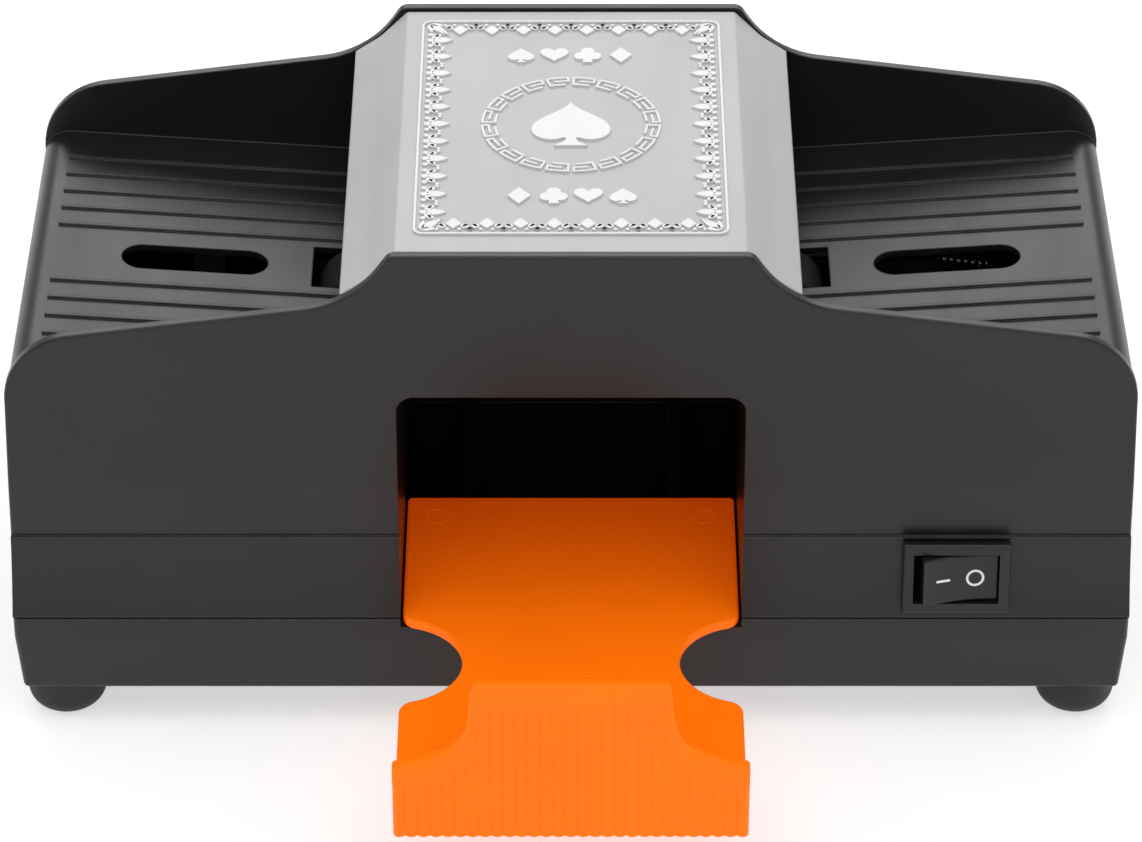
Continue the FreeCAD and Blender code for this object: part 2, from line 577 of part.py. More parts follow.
def gear(teeth, turn, x, z, low, high, bore, module=0.5, **shape):
    wheel = Part.Face(gear_outline(teeth, module, turn, **shape))
    wheel.translate(Vector(value(x), value(low), value(z)))
    solid = wheel.extrude(Vector(0, value(high) - value(low), 0))
    return solid.cut(rod(x, z, bore, f"{low} - 1", f"{high} + 1"))


def rod(x, z, radius, low, high):
    """A cylinder along Y."""
    start = Vector(value(x), value(low), value(z))
    return Part.makeCylinder(value(radius), value(high) - value(low), start, Vector(0, 1, 0))


def direction(x0, z0, x1, z1):
    return math.atan2(value(z1) - value(z0), value(x1) - value(x0))


def build_gears(name, side):
    """16 teeth on the roller, 12 and 40 on the idler and 10 on the motor, in mesh at rest."""
    first = direction("roller_x", "roller_z", "idler_x", "idler_z")
    add_shape(f"roller_gear_{name}", gear(16, first, "roller_x", "roller_z", "inner_y + 2.3",
              "inner_y + 5.3", "shaft_r + 0.02"), side)
    small = gear(12, first + math.pi + math.pi / 12, "idler_x", "idler_z", "inner_y + 2.1",
                 "inner_y + 6.3", "idler_r + running")
    second = direction("idler_x", "idler_z", "motor_x", "motor_z")
    large = gear(40, second, "idler_x", "idler_z", "inner_y + 6.3", "inner_y + 8.3",
                 "idler_r + running", addendum=0.8)
    add_shape(f"idler_gear_{name}", small.fuse(large), side)
    add_shape(f"motor_pinion_{name}", gear(10, second + math.pi + math.pi / 10, "motor_x",
              "motor_z", "inner_y + 5.8", "inner_y + 8.8", "spindle_r + 0.02"), side)


# ---------------------------------------------------------------- feed unit
def arm_outline(tail):
    """One plate of the arm, from the roller's axle to the pivot and up to the spring's bar."""
    return [("roller_x - 6", "idler_z - 5"), ("idler_x", "motor_z - 7"), ("motor_x - 7", "arm_low_z"),
            ("motor_x + 8.5", "arm_low_z"), ("pivot_x - 3", "pivot_z - 5"),
            ("pivot_x + 3", "pivot_z - 4"),
            ("pivot_x + 3", "pivot_z + 2"), (f"bar_x + {tail}", "bar_z - 1"),
            (f"bar_x + {tail}", "bar_z + 1.8"), ("bar_x - 2.2", "bar_z + 1.8"),
            ("motor_x + 5", "roller_z + 3.4"), ("roller_x - 6", "roller_z + 3.4")]


def build_feed_arm(name, side):
    arm = new_body(f"feed_arm_{name}")
    for low in ("inner_y", "outer_y"):
        pad(arm, "XZ", low, f"{low} + plate_t", [arm_outline("2.2")])
    between = ("inner_y + plate_t - 0.1", "outer_y + 0.1")
    pad(arm, "XZ", *between, [box("motor_x + 5.6", "motor_x + 9", "motor_z + 2", "motor_z + 9")])
    pad(arm, "XZ", *between, [box("motor_x - 6", "motor_x + 6", "arm_low_z", "arm_low_z + plate_t")])
    pad(arm, "XZ", *between, circles=[("bar_x", "bar_z", "bar_r")])
    cheek = box("roller_x - 4.5", "window_x + 2.4", "roller_z - 4", "roller_z + 3.4")
    pad(arm, "XZ", "-cheek_y", "-cheek_y + plate_t", [cheek])
    rung = box("window_x + 0.8", "window_x + 2.4", "roller_z - 4", "roller_z + 3.4")
    pad(arm, "XZ", "-cheek_y + 0.1", "inner_y + 0.1", [rung])
    axles = [("roller_x", "roller_z", "bush_r + 0.02")]
    pocket(arm, "XZ", "-cheek_y - 1", "inner_y + plate_t + 1", circles=axles)
    pins = [("idler_x", "idler_z", "idler_r"), ("pivot_x", "pivot_z", "pivot_r + running")]
    pocket(arm, "XZ", "inner_y - 1", "outer_y + plate_t + 1", circles=pins)
    nose = [("motor_x", "motor_z", "motor_nose_r + 0.6")]
    pocket(arm, "XZ", "outer_y - 1", "outer_y + plate_t + 1", circles=nose)
    screws = [(f"motor_x {sign} motor_screw_x", "motor_z", "motor_screw_r + 0.1") for sign in "+-"]
    pocket(arm, "XZ", "outer_y - 1", "outer_y + plate_t + 1", circles=screws)
    place(arm, side)


def build_roller(name, side):
    hub = new_body(f"roller_hub_{name}")
    pad(hub, "XZ", "-roller_half - 0.6", "roller_half + 0.6",
        circles=[("roller_x", "roller_z", "hub_r"), ("roller_x", "roller_z", "shaft_r + 0.02")])
    place(hub, side)
    tyre = new_body(f"roller_tyre_{name}")
    pad(tyre, "XZ", "-roller_half", "roller_half",
        circles=[("roller_x", "roller_z", "roller_r"), ("roller_x", "roller_z", "hub_r")])
    round_edges(tyre, "0.5", lambda edge, middle, along: close(edge.Length, 47.12, 0.1))
    place(tyre, side)
    shaft = new_body(f"roller_shaft_{name}")
    pad(shaft, "XZ", "-shaft_front", "shaft_back", circles=[("roller_x", "roller_z", "shaft_r")])
    place(shaft, side)
    bushes = new_body(f"roller_bushes_{name}")
    bore = ("roller_x", "roller_z", "shaft_r + running")
    for low, high in (("-cheek_y", "-cheek_y + plate_t"), ("inner_y", "inner_y + plate_t")):
        pad(bushes, "XZ", low, high, circles=[("roller_x", "roller_z", "bush_r"), bore])
    for low, high in (("-cheek_y - 0.5", "-cheek_y"), ("inner_y + plate_t", "inner_y + 2")):
        pad(bushes, "XZ", low, high, circles=[("roller_x", "roller_z", "bush_r + 0.7"), bore])
    place(bushes, side)


def build_pins(name, side):
    idler = new_body(f"idler_axle_{name}")
    pad(idler, "XZ", "inner_y", "outer_y + plate_t", circles=[("idler_x", "idler_z", "idler_r")])
    place(idler, side)
    pivot = new_body(f"arm_pivot_{name}")
    pad(pivot, "XZ", "-pivot_front", "pivot_back", circles=[("pivot_x", "pivot_z", "pivot_r")])
    place(pivot, side)


def motor_section(grow="0"):
    """The round can with a flat above and below, as corners and signed arc radii."""
    reach = f"sqrt((motor_r + {grow}) * (motor_r + {grow}) - (motor_flat + {grow}) ^ 2)"
    low, high = f"motor_z - (motor_flat + {grow})", f"motor_z + (motor_flat + {grow})"
    corners = [(f"motor_x - {reach}", low), (f"motor_x + {reach}", low),
               (f"motor_x + {reach}", high), (f"motor_x - {reach}", high)]
    return corners, {1: f"motor_r + {grow}", 3: f"motor_r + {grow}"}


def build_motor(name, side):
    outer, bend = motor_section()
    inner, inner_bend = motor_section("-motor_t")
    can = new_body(f"motor_can_{name}")
    pad(can, "XZ", "motor_y", "cap_y", [outer], bend)
    pad(can, "XZ", "motor_y - 1.5", "motor_y", circles=[("motor_x", "motor_z", "motor_nose_r")])
    pocket(can, "XZ", "motor_y + motor_t", "cap_y + 1", [inner], inner_bend)
    bore = [("motor_x", "motor_z", "spindle_r + running")]
    pocket(can, "XZ", "motor_y - 2", "motor_y + 2", circles=bore)
    taps = [(f"motor_x {sign} motor_screw_x", "motor_z", "motor_screw_r + 0.02") for sign in "+-"]
    pocket(can, "XZ", "motor_y - 1", "motor_y + 2", circles=taps)
    place(can, side)
    cap = new_body(f"motor_cap_{name}")
    pad(cap, "XZ", "cap_y + 0.02", "motor_back", [outer], bend)
    pocket(cap, "XZ", "cap_y - 1", "motor_back - 1.2", circles=[("motor_x", "motor_z", "rotor_r")])
    pocket(cap, "XZ", "cap_y - 1", "motor_back + 1", circles=bore)
    place(cap, side)
    add_shape(f"motor_magnets_{name}", magnets(), side)
    build_armature(name, side)
    screws = new_body(f"motor_screws_{name}")
    heads = [(f"motor_x {sign} motor_screw_x", "motor_z", "motor_screw_r + 0.9") for sign in "+-"]
    shanks = [(x, z, "motor_screw_r") for x, z, _ in heads]
    pad(screws, "XZ", "outer_y - 0.9", "outer_y", circles=heads)
    pad(screws, "XZ", "outer_y", "motor_y + 1", circles=shanks)
    place(screws, side)


def magnets():
    """Two curved magnets against the sides of the can."""
    ring = rod("motor_x", "motor_z", "motor_r - motor_t - 0.02", "motor_y + 4", "cap_y - 2")
    ring = ring.cut(rod("motor_x", "motor_z", "7.0", "motor_y + 3", "cap_y - 1"))
    keep = [Part.makeBox(6, 30, 9, Vector(value("motor_x") + at, value("motor_y"),
            value("motor_z") - 4.5)) for at in (-10, 4)]
    return Part.makeCompound([ring.common(half) for half in keep])


def build_armature(name, side):
    """The motor's turning core: a spindle, three wound poles and the commutator."""
    body = new_body(f"motor_rotor_{name}")
    pad(body, "XZ", "inner_y + 4.9", "motor_back - 0.4",
        circles=[("motor_x", "motor_z", "spindle_r")])
    pad(body, "XZ", "motor_y + 5", "cap_y - 4", circles=[("motor_x", "motor_z", "rotor_r")])
    slots = [(f"motor_x + rotor_r * cos({angle})", f"motor_z + rotor_r * sin({angle})", "winding_r")
             for angle in (90, 210, 330)]
    pocket(body, "XZ", "motor_y + 4", "cap_y - 3", circles=slots)
    pad(body, "XZ", "cap_y - 3", "cap_y + 3", circles=[("motor_x", "motor_z", "contact_r")])
    place(body, side)


def wire_loop(centre, axis, radius, wire):
    return Part.makeTorus(radius, wire, centre, axis)


def feed_spring():
    """An open extension spring from the arm's bar to the post, with a ring at each end."""
    wire, mean, turns = 0.2, 1.25, 7
    bar = Vector(value("bar_x"), value("spring_y"), value("bar_z"))
    post = Vector(value("post_x"), value("spring_y"), value("post_z") + 1.2)
    run = (post - bar).normalize()
    start = bar + run * 2.4
    length = (post - bar).Length - 4.9
    helix = Part.makeHelix(length / turns, length, mean)
    turn = Rotation(Vector(0, 0, 1), run)
    profile = Part.Wire(Part.makeCircle(wire, Vector(mean, 0, 0), Vector(0, 1, 0)))
    coil = Part.Wire(helix.Edges).makePipeShell([profile], True, True)
    coil.Placement = Placement(start, turn)
    first = start + turn.multVec(Vector(mean, 0, 0))
    last = start + run * length + turn.multVec(Vector(mean, 0, 0))
    solids = [coil, wire_loop(bar, Vector(0, 1, 0), 1.45, wire),
              wire_loop(post, Vector(0, 0, 1), 1.85, wire)]
    for end, ring in ((first, bar + run * 1.45), (last, post - run * 1.85)):
        span = ring - end
        solids.append(Part.makeCylinder(wire, span.Length, end, span))
        solids.append(Part.makeSphere(wire * 1.01, end))
    return solids[0].multiFuse(solids[1:])


def build_separator(name, side):
    """A rubber pad on the gate that holds back every card but the lowest."""
    pad_body = new_body(f"separator_pad_{name}")
    pad(pad_body, "XZ", "-5", "5", [[("gate_x + 0.02", "gate_low_z + 0.2"),
        ("gate_x + 1.2", "gate_low_z + 0.2"), ("gate_x + 2", "gate_low_z + 7"),
        ("gate_x + 0.02", "gate_low_z + 7")]])
    place(pad_body, side)


def build_feed_unit(name, side):
    build_feed_arm(name, side)
    build_roller(name, side)
    build_pins(name, side)
    build_gears(name, side)
    build_motor(name, side)
    add_shape(f"feed_spring_{name}", feed_spring(), side)
    build_separator(name, side)


# ---------------------------------------------------------------- checks and output
def check_all():
    failed = [thing.Label for thing in doc.Objects
              if "Invalid" in thing.State or "Error" in thing.State]
    if failed:
        raise RuntimeError(f"these objects failed: {failed}")
    for node in nodes:
        shape = node.Shape
        if shape.isNull() or not shape.isValid() or not shape.Solids:
            raise RuntimeError(f"{node.Label} has no valid solid")


def main():
    fill_sheet()
    build_upper_housing()
    build_top_cover()
    build_base_casing()
    build_feet()
    build_case_screws()
    build_card_tray()
    build_switch()
    for name, side in (("right", 1), ("left", -1)):
        build_battery_parts(name, side)
        build_feed_unit(name, side)
    doc.recompute()
    check_all()
    os.makedirs("parts", exist_ok=True)
    for node in nodes:
        node.Shape.exportStep(f"parts/{node.Label}.step")
        bounds = node.Shape.BoundBox
        print(f"{node.Label:26s} solids {len(node.Shape.Solids)} volume {node.Shape.Volume:10.1f}"
              f" x {bounds.XMin:7.1f} {bounds.XMax:7.1f} y {bounds.YMin:7.1f} {bounds.YMax:7.1f}"
              f" z {bounds.ZMin:6.1f} {bounds.ZMax:6.1f}")


main()
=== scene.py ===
"""Looks for the automatic card shuffler: plastics, relief ornament, fluted tray and studio."""
import json
import math

import bmesh
import bpy
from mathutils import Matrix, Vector


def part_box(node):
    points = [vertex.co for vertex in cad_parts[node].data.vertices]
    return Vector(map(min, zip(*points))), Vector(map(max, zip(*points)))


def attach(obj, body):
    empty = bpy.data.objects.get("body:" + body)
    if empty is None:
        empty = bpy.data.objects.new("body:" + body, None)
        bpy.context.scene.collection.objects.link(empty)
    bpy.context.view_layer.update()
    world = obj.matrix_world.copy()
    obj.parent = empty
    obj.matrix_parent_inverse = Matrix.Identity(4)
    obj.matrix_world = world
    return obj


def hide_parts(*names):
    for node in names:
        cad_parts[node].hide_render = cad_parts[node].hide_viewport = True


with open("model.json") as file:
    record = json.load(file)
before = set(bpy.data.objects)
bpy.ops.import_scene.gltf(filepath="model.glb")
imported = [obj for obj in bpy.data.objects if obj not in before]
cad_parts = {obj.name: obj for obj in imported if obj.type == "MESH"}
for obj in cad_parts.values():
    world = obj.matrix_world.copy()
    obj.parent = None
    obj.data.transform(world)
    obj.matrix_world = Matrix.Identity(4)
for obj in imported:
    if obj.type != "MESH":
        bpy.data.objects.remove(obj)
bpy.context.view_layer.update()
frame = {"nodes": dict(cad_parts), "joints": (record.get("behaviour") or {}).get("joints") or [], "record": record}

MM = 0.001

HOUSING_LOW, HOUSING_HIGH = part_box("upper_housing")
COVER_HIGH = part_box("top_cover")[1]
TRAY_LOW, TRAY_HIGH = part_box("card_tray")
MIDDLE_Y = (HOUSING_LOW.y + HOUSING_HIGH.y) / 2
BEVEL_ANGLE = 50
METAL_EDGE = 0.00012


def row(x, y, z):
    """A point given in millimetres about the middle of the housing, in the frame's metres."""
    return Vector((x * MM, MIDDLE_Y + y * MM, z * MM))


# ---------------------------------------------------------------- materials
class Nodes:
    """A small helper that adds shader nodes to one material."""

    def __init__(self, name):
        self.material = bpy.data.materials.new(name)
        self.material.use_nodes = True
        self.tree = self.material.node_tree
        self.shader = self.tree.nodes["Principled BSDF"]

    def add(self, kind, **settings):
        node = self.tree.nodes.new(kind)
        for key, setting in settings.items():
            setattr(node, key, setting)
        return node

    def join(self, output, target):
        self.tree.links.new(output, target)

    def noise(self, scale, detail, rough=0.55, stretch=None):
        """Noise in the object's own metres, so that its grain keeps its real size."""
        texture = self.add("ShaderNodeTexNoise")
        texture.inputs["Scale"].default_value = scale
        texture.inputs["Detail"].default_value = detail
        texture.inputs["Roughness"].default_value = rough
        place = self.add("ShaderNodeTexCoord").outputs["Object"]
        if stretch:
            mapping = self.add("ShaderNodeMapping")
            mapping.inputs["Scale"].default_value = stretch
            self.join(place, mapping.inputs["Vector"])
            place = mapping.outputs["Vector"]
        self.join(place, texture.inputs["Vector"])
        return texture.outputs["Fac"]

    def spread(self, source, low, high, start=0.3, stop=0.7):
        """Map a mask to the span low..high."""
        node = self.add("ShaderNodeMapRange")
        node.inputs["From Min"].default_value = start
        node.inputs["From Max"].default_value = stop
        node.inputs["To Min"].default_value = low
        node.inputs["To Max"].default_value = high
        self.join(source, node.inputs["Value"])
        return node.outputs["Result"]

    def edge_mask(self, bevel):
        """1 on edges, which take wear and a painted highlight; 0 on open faces."""
        dot = self.add("ShaderNodeVectorMath", operation="DOT_PRODUCT")
        self.join(bevel.outputs["Normal"], dot.inputs[0])
        self.join(self.add("ShaderNodeNewGeometry").outputs["Normal"], dot.inputs[1])
        return self.spread(dot.outputs["Value"], 1.0, 0.0, 0.72, 0.95)

    def mix(self, mask, first, second):
        node = self.add("ShaderNodeMix", data_type="RGBA")
        self.join(mask, node.inputs[0])
        for socket, colour in ((node.inputs[6], first), (node.inputs[7], second)):
            if isinstance(colour, tuple):
                socket.default_value = (*colour, 1.0)
            else:
                self.join(colour, socket)
        return node.outputs[2]

    def bump(self, source, height, normal):
        """Raise the surface by a mask, on top of a normal; height is in metres."""
        node = self.add("ShaderNodeBump")
        node.inputs["Strength"].default_value = 1.0
        node.inputs["Distance"].default_value = height
        self.join(source, node.inputs["Height"])
        self.join(normal, node.inputs["Normal"])
        return node.outputs["Normal"]


def moulded(name, colour, rough, grain, grain_height, wear_and_highlight, edge, tint=0.12, ior=1.45,
            painted_glow=None):
    """Moulded plastic or rubber: fine grain, cloudy gloss, and edges lighter from wear and a painted highlight.

    painted_glow is an emission colour: painted light that makes the plastic glow a little by itself.
    """
    make = Nodes(name)
    bevel = make.add("ShaderNodeBevel", samples=4)
    bevel.inputs["Radius"].default_value = edge
    cloud = make.noise(38.0, 3.0)
    darker = tuple(part * (1 - tint) for part in colour)
    lighter = tuple(min(1.0, part * (1 + tint)) for part in colour)
    body = make.mix(make.spread(cloud, 0.0, 1.0), darker, lighter)
    mask = make.edge_mask(bevel)
    patchy = make.add("ShaderNodeMath", operation="MULTIPLY")
    make.join(mask, patchy.inputs[0])
    make.join(make.spread(make.noise(420.0, 5.0), 0.25, 1.0), patchy.inputs[1])
    # edges take a lighter colour: part wear, part painted highlight along the rims
    make.join(make.mix(patchy.outputs[0], body, wear_and_highlight), make.shader.inputs["Base Color"])
    # emission: painted light, the plastic glows though it is no lamp
    if painted_glow:
        dim = tuple(part * 0.9 for part in painted_glow)
        make.join(make.mix(cloud, dim, painted_glow), make.shader.inputs["Emission Color"])
        make.shader.inputs["Emission Strength"].default_value = 1.0
    smear = make.noise(95.0, 6.0, 0.6, (1.0, 0.35, 1.0))
    make.join(make.spread(smear, rough * 0.86, rough * 1.16), make.shader.inputs["Roughness"])
    fine = make.bump(make.noise(grain, 2.0), grain_height, bevel.outputs["Normal"])
    make.join(fine, make.shader.inputs["Normal"])
    make.shader.inputs["IOR"].default_value = ior
    return make.material


def metal(name, colour, rough, stretch=(1.0, 14.0, 1.0), scale=260.0):
    """Drawn, turned or plated metal with fine lines along one direction."""
    make = Nodes(name)
    bevel = make.add("ShaderNodeBevel", samples=4)
    bevel.inputs["Radius"].default_value = METAL_EDGE
    lines = make.noise(scale, 5.0, 0.6, stretch)
    dull = tuple(part * 0.82 for part in colour)
    body = make.mix(make.spread(lines, 0.0, 1.0), dull, colour)
    make.join(body, make.shader.inputs["Base Color"])
    make.join(make.spread(lines, rough * 0.75, rough * 1.3), make.shader.inputs["Roughness"])
    make.join(make.bump(lines, 0.000008, bevel.outputs["Normal"]), make.shader.inputs["Normal"])
    make.shader.inputs["Metallic"].default_value = 1.0
    return make.material


def make_materials():
    """One material for each slot in the record, and two more for the relief and the marks."""
    return {
        # the lighter edge colours below are part wear, part painted highlight
        "housing_plastic": moulded("dark_abs", (0.0085, 0.0085, 0.009), 0.33, 2600.0, 0.000005,
                                   (0.085, 0.085, 0.088), 0.00045),
        "cover_silver": moulded("silver_satin", (0.435, 0.435, 0.44), 0.38, 3000.0, 0.000004,
                                (0.72, 0.72, 0.72), 0.0003, 0.03),
        # the orange plastic also glows by emission: painted light
        "tray_orange": moulded("orange_gloss", (0.92, 0.19, 0.002), 0.32, 1500.0, 0.000004,
                               (1.0, 0.46, 0.02), 0.0008, 0.04, ior=1.22,
                               painted_glow=(0.30, 0.022, 0.0002)),
        "switch_black": moulded("black_nylon", (0.010, 0.010, 0.0105), 0.36, 3200.0, 0.000006,
                                (0.05, 0.05, 0.052), 0.0002),
        "foot_rubber": moulded("foot_rubber", (0.016, 0.016, 0.0165), 0.6, 1800.0, 0.00002,
                               (0.04, 0.04, 0.04), 0.0004),
        "tyre_rubber": moulded("tyre_rubber", (0.008, 0.008, 0.008), 0.85, 2200.0, 0.00003,
                               (0.02, 0.02, 0.02), 0.0003, ior=1.3),
        "gear_nylon": moulded("nylon", (0.66, 0.65, 0.60), 0.42, 2000.0, 0.000006,
                              (0.8, 0.8, 0.76), 0.00008),
        "hub_plastic": moulded("hub_plastic", (0.03, 0.03, 0.03), 0.5, 2000.0, 0.000006,
                               (0.06, 0.06, 0.06), 0.0002),
        # set darker than the housing as painted shade: the arms sit in the dark slots
        "arm_plastic": moulded("arm_plastic", (0.006, 0.006, 0.0065), 0.7, 2400.0, 0.00001,
                               (0.015, 0.015, 0.015), 0.0002, ior=1.3),
        "magnet_ferrite": moulded("ferrite", (0.05, 0.05, 0.052), 0.6, 3500.0, 0.00002,
                                  (0.10, 0.10, 0.10), 0.0002),
        "screw_steel": metal("zinc_plate", (0.55, 0.56, 0.58), 0.32),
        "shaft_steel": metal("ground_steel", (0.62, 0.62, 0.63), 0.22),
        "spring_steel": metal("spring_wire", (0.62, 0.62, 0.64), 0.25, (1.0, 1.0, 1.0), 900.0),
        "motor_steel": metal("motor_steel", (0.56, 0.57, 0.58), 0.3, (1.0, 10.0, 1.0)),
        "contact_nickel": metal("nickel", (0.66, 0.62, 0.55), 0.24),
        "terminal_brass": metal("brass", (0.78, 0.56, 0.24), 0.28),
        "bush_brass": metal("bronze", (0.60, 0.40, 0.20), 0.45, (1.0, 1.0, 1.0), 1500.0),
        "rotor_copper": metal("copper", (0.72, 0.33, 0.18), 0.35, (1.0, 1.0, 20.0)),
        "relief": moulded("relief_bright", (0.70, 0.70, 0.70), 0.3, 2400.0, 0.000003,
                          (0.92, 0.92, 0.92), 0.00012, 0.02),
        "mark": moulded("white_ink", (0.80, 0.80, 0.80), 0.45, 3000.0, 0.000004,
                        (0.88, 0.88, 0.88), 0.00005, 0.04),
    }


# ---------------------------------------------------------------- outlines and solids
def rounded(corners, steps=0):
    """Points of a closed outline; each corner is (x, y, radius), rounded by an arc."""
    points = []
    count = len(corners)
    for index, (x, y, radius) in enumerate(corners):
        here = Vector((x, y))
        if radius <= 0:
            points.append(here)
            continue
        before = (Vector(corners[index - 1][:2]) - here).normalized()
        after = (Vector(corners[(index + 1) % count][:2]) - here).normalized()
        half = before.angle(after) / 2
        reach = radius / math.tan(half)
        centre = here + (before + after).normalized() * (radius / math.sin(half))
        first, last = here + before * reach - centre, here + after * reach - centre
        swing = math.atan2(first.x * last.y - first.y * last.x, first.dot(last))
        pieces = steps or min(18, int(abs(swing) * radius / 0.25) + 3)
        for step in range(pieces + 1):
            turn = swing * step / pieces
            cos, sin = math.cos(turn), math.sin(turn)
            points.append(centre + Vector((first.x * cos - first.y * sin,
                                           first.x * sin + first.y * cos)))
    return points


def new_object(name, mesh, material):
    mesh.materials.append(material)
    piece = bpy.data.objects.new(name, mesh)
    bpy.context.scene.collection.objects.link(piece)
    return piece


def close_mesh(name, mesh):
    """Turn a bmesh into mesh data with its normals outwards."""
    bmesh.ops.recalc_face_normals(mesh, faces=mesh.faces)
    data = bpy.data.meshes.new(name)
    mesh.to_mesh(data)
    mesh.free()
    return data


def soften_edges(piece, width, harden=False):
    """Round the sharp edges by a width in millimetres."""
    bevel = piece.modifiers.new("Bevel", "BEVEL")
    bevel.width = width * MM
    bevel.segments = 2
    bevel.limit_method = "ANGLE"
    bevel.angle_limit = math.radians(BEVEL_ANGLE)
    bevel.harden_normals = harden


def add_band(mesh, first, second):
    """Join two closed loops of the same length with quads."""
    count = len(first)
    for index in range(count):
        after = (index + 1) % count
        mesh.faces.new((first[index], first[after], second[after], second[index]))


def finish_piece(piece, body):
    """Name the body that carries the piece."""
    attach(piece, body)


def smooth(piece, degrees=35):
    """Smooth shading that keeps edges sharper than the angle."""
    for face in piece.data.polygons:
        face.use_smooth = True
    piece.data.set_sharp_from_angle(angle=math.radians(degrees))


def add_slab(mesh, points, low, high, lift):
    """Add a closed slab with the outline, from low to high; lift turns (x, y, z) to a place."""
    bottom = [mesh.verts.new(lift(p.x, p.y, low)) for p in points]
    top = [mesh.verts.new(lift(p.x, p.y, high)) for p in points]
    mesh.faces.new(top)
    mesh.faces.new(list(reversed(bottom)))
    add_band(mesh, bottom, top)


def slabs(name, outlines, low, high, lift, material, bevel):
    """One object made of many slabs, with softened edges."""
    mesh = bmesh.new()
    for points in outlines:
        add_slab(mesh, points, low, high, lift)
    piece = new_object(name, close_mesh(name, mesh), material)
    if bevel:
        soften_edges(piece, bevel, harden=True)
    smooth(piece)
    return piece


# ---------------------------------------------------------------- relief on the cover
RELIEF_LOW, RELIEF_HIGH = -0.05, 0.42
SUIT_ROW, SUIT_PITCH, SUIT_SIZE = 26.0, 6.6, 5.6
EMBLEM_Y, EMBLEM_SIZE = 0.2, 16.5
PANEL_X, PANEL_Y, PANEL_BACK = 29.85, 39.45, 1.0
FRAME_R, FRAME_WIDE = 2.0, 0.55
BORDER_INSET, BORDER_CORNER = 0.9, 9.0


def on_cover(x, y, z):
    """A point on the cover's flat top: x, y from the middle of the panel, z above the top."""
    return row(x, y + PANEL_BACK, COVER_HIGH.z / MM + z)


def circle_points(x, y, radius, steps, squash=1.0):
    return [Vector((x + radius * math.cos(2 * math.pi * i / steps),
                    y + squash * radius * math.sin(2 * math.pi * i / steps)))
            for i in range(steps)]


def moved(points, x, y, turn=0.0):
    """The points turned about the origin, then shifted by x, y."""
    cos, sin = math.cos(turn), math.sin(turn)
    return [Vector((x + (p.x * cos - p.y * sin), y + (p.x * sin + p.y * cos)))
            for p in points]


def frame_line(name, material):
    """The thin raised line round the panel, made of an outer and an inner rounded rectangle."""
    mesh = bmesh.new()
    rings = []
    for inset, radius in ((0.0, FRAME_R), (FRAME_WIDE, FRAME_R - FRAME_WIDE)):
        x, y = PANEL_X - inset, PANEL_Y - inset
        outline = rounded([(x, -y, radius), (x, y, radius), (-x, y, radius), (-x, -y, radius)], 8)
        for z in (RELIEF_LOW, RELIEF_HIGH):
            rings.append([mesh.verts.new(on_cover(p.x, p.y, z)) for p in outline])
    outer_low, outer_high, inner_low, inner_high = rings
    for first, second in ((outer_low, outer_high), (outer_high, inner_high),
                          (inner_high, inner_low), (inner_low, outer_low)):
        add_band(mesh, first, second)
    piece = new_object(name, close_mesh(name, mesh), material)
    soften_edges(piece, 0.1)
    smooth(piece)
    return piece


def leaf(length, width):
    """A pointed leaf along +X from the origin."""
    steps = 7
    side = [Vector((length * i / steps, width * math.sin(math.pi * (i / steps) ** 0.75)))
            for i in range(1, steps)]
    return [Vector((0, 0))] + [Vector((p.x, -p.y)) for p in side] + [Vector((length, 0))] \
        + list(reversed(side))


def bud_motif():
    """A bud that points inwards, with side leaves, beads at its foot and leaves between buds."""
    shapes = [moved(leaf(3.9, 1.05), 1.5, 0), circle_points(0.95, 0, 0.7, 12)]
    for sign in (1, -1):
        shapes.append(moved(leaf(2.3, 0.62), 1.3, 0.55 * sign, sign * 0.95))
        shapes.append(circle_points(0.95, 2.1 * sign, 0.55, 12))
        shapes.append(moved(leaf(1.9, 0.5), 3.1, 2.2 * sign, -sign * 2.5))
        shapes.append(circle_points(3.4, 2.75 * sign, 0.42, 10))
    return shapes


def diamond_motif(pitch):
    """A diamond that points inwards, with ovals and beads on both sides."""
    shapes = [rounded([(1.0, 0, 0.25), (2.7, 1.6, 0.3), (4.7, 0, 0.3), (2.7, -1.6, 0.3)])]
    for sign in (1, -1):
        shapes.append(circle_points(1.9, sign * 2.15, 0.72, 14, 1.15))
        shapes.append(circle_points(0.95, sign * (pitch / 2), 0.5, 12))
        shapes.append(moved(leaf(1.8, 0.42), 2.6, sign * (pitch / 2 - 0.3), -sign * 2.3))
        shapes.append(circle_points(0.85, sign * 1.15, 0.4, 10))
    return shapes


def border_shapes():
    """Motifs in a row along each side of the panel, and a leaf in each corner."""
    shapes = []
    side_count, end_count = 11, 8
    side_pitch = (2 * PANEL_Y - BORDER_CORNER) / side_count
    for index in range(side_count):
        along = (index - (side_count - 1) / 2) * side_pitch
        for sign in (1, -1):
            for points in bud_motif():
                x = sign * (PANEL_X - BORDER_INSET)
                shapes.append(moved(points, x, along, math.pi if sign > 0 else 0.0))
    end_pitch = (2 * PANEL_X - BORDER_CORNER) / end_count
    for index in range(end_count):
        along = (index - (end_count - 1) / 2) * end_pitch
        for sign in (1, -1):
            for points in diamond_motif(end_pitch):
                y = sign * (PANEL_Y - BORDER_INSET)
                shapes.append(moved(points, along, y, -sign * math.pi / 2))
    for sx in (1, -1):
        for sy in (1, -1):
            turn = math.atan2(-sy, -sx)
            x, y = sx * (PANEL_X - 1.5), sy * (PANEL_Y - 1.5)
            shapes.append(moved(leaf(5.6, 0.9), x, y, turn))
            for sign in (1, -1):
                shapes.append(moved(leaf(3.4, 0.6), x, y, turn + sign * 0.62))
    return shapes


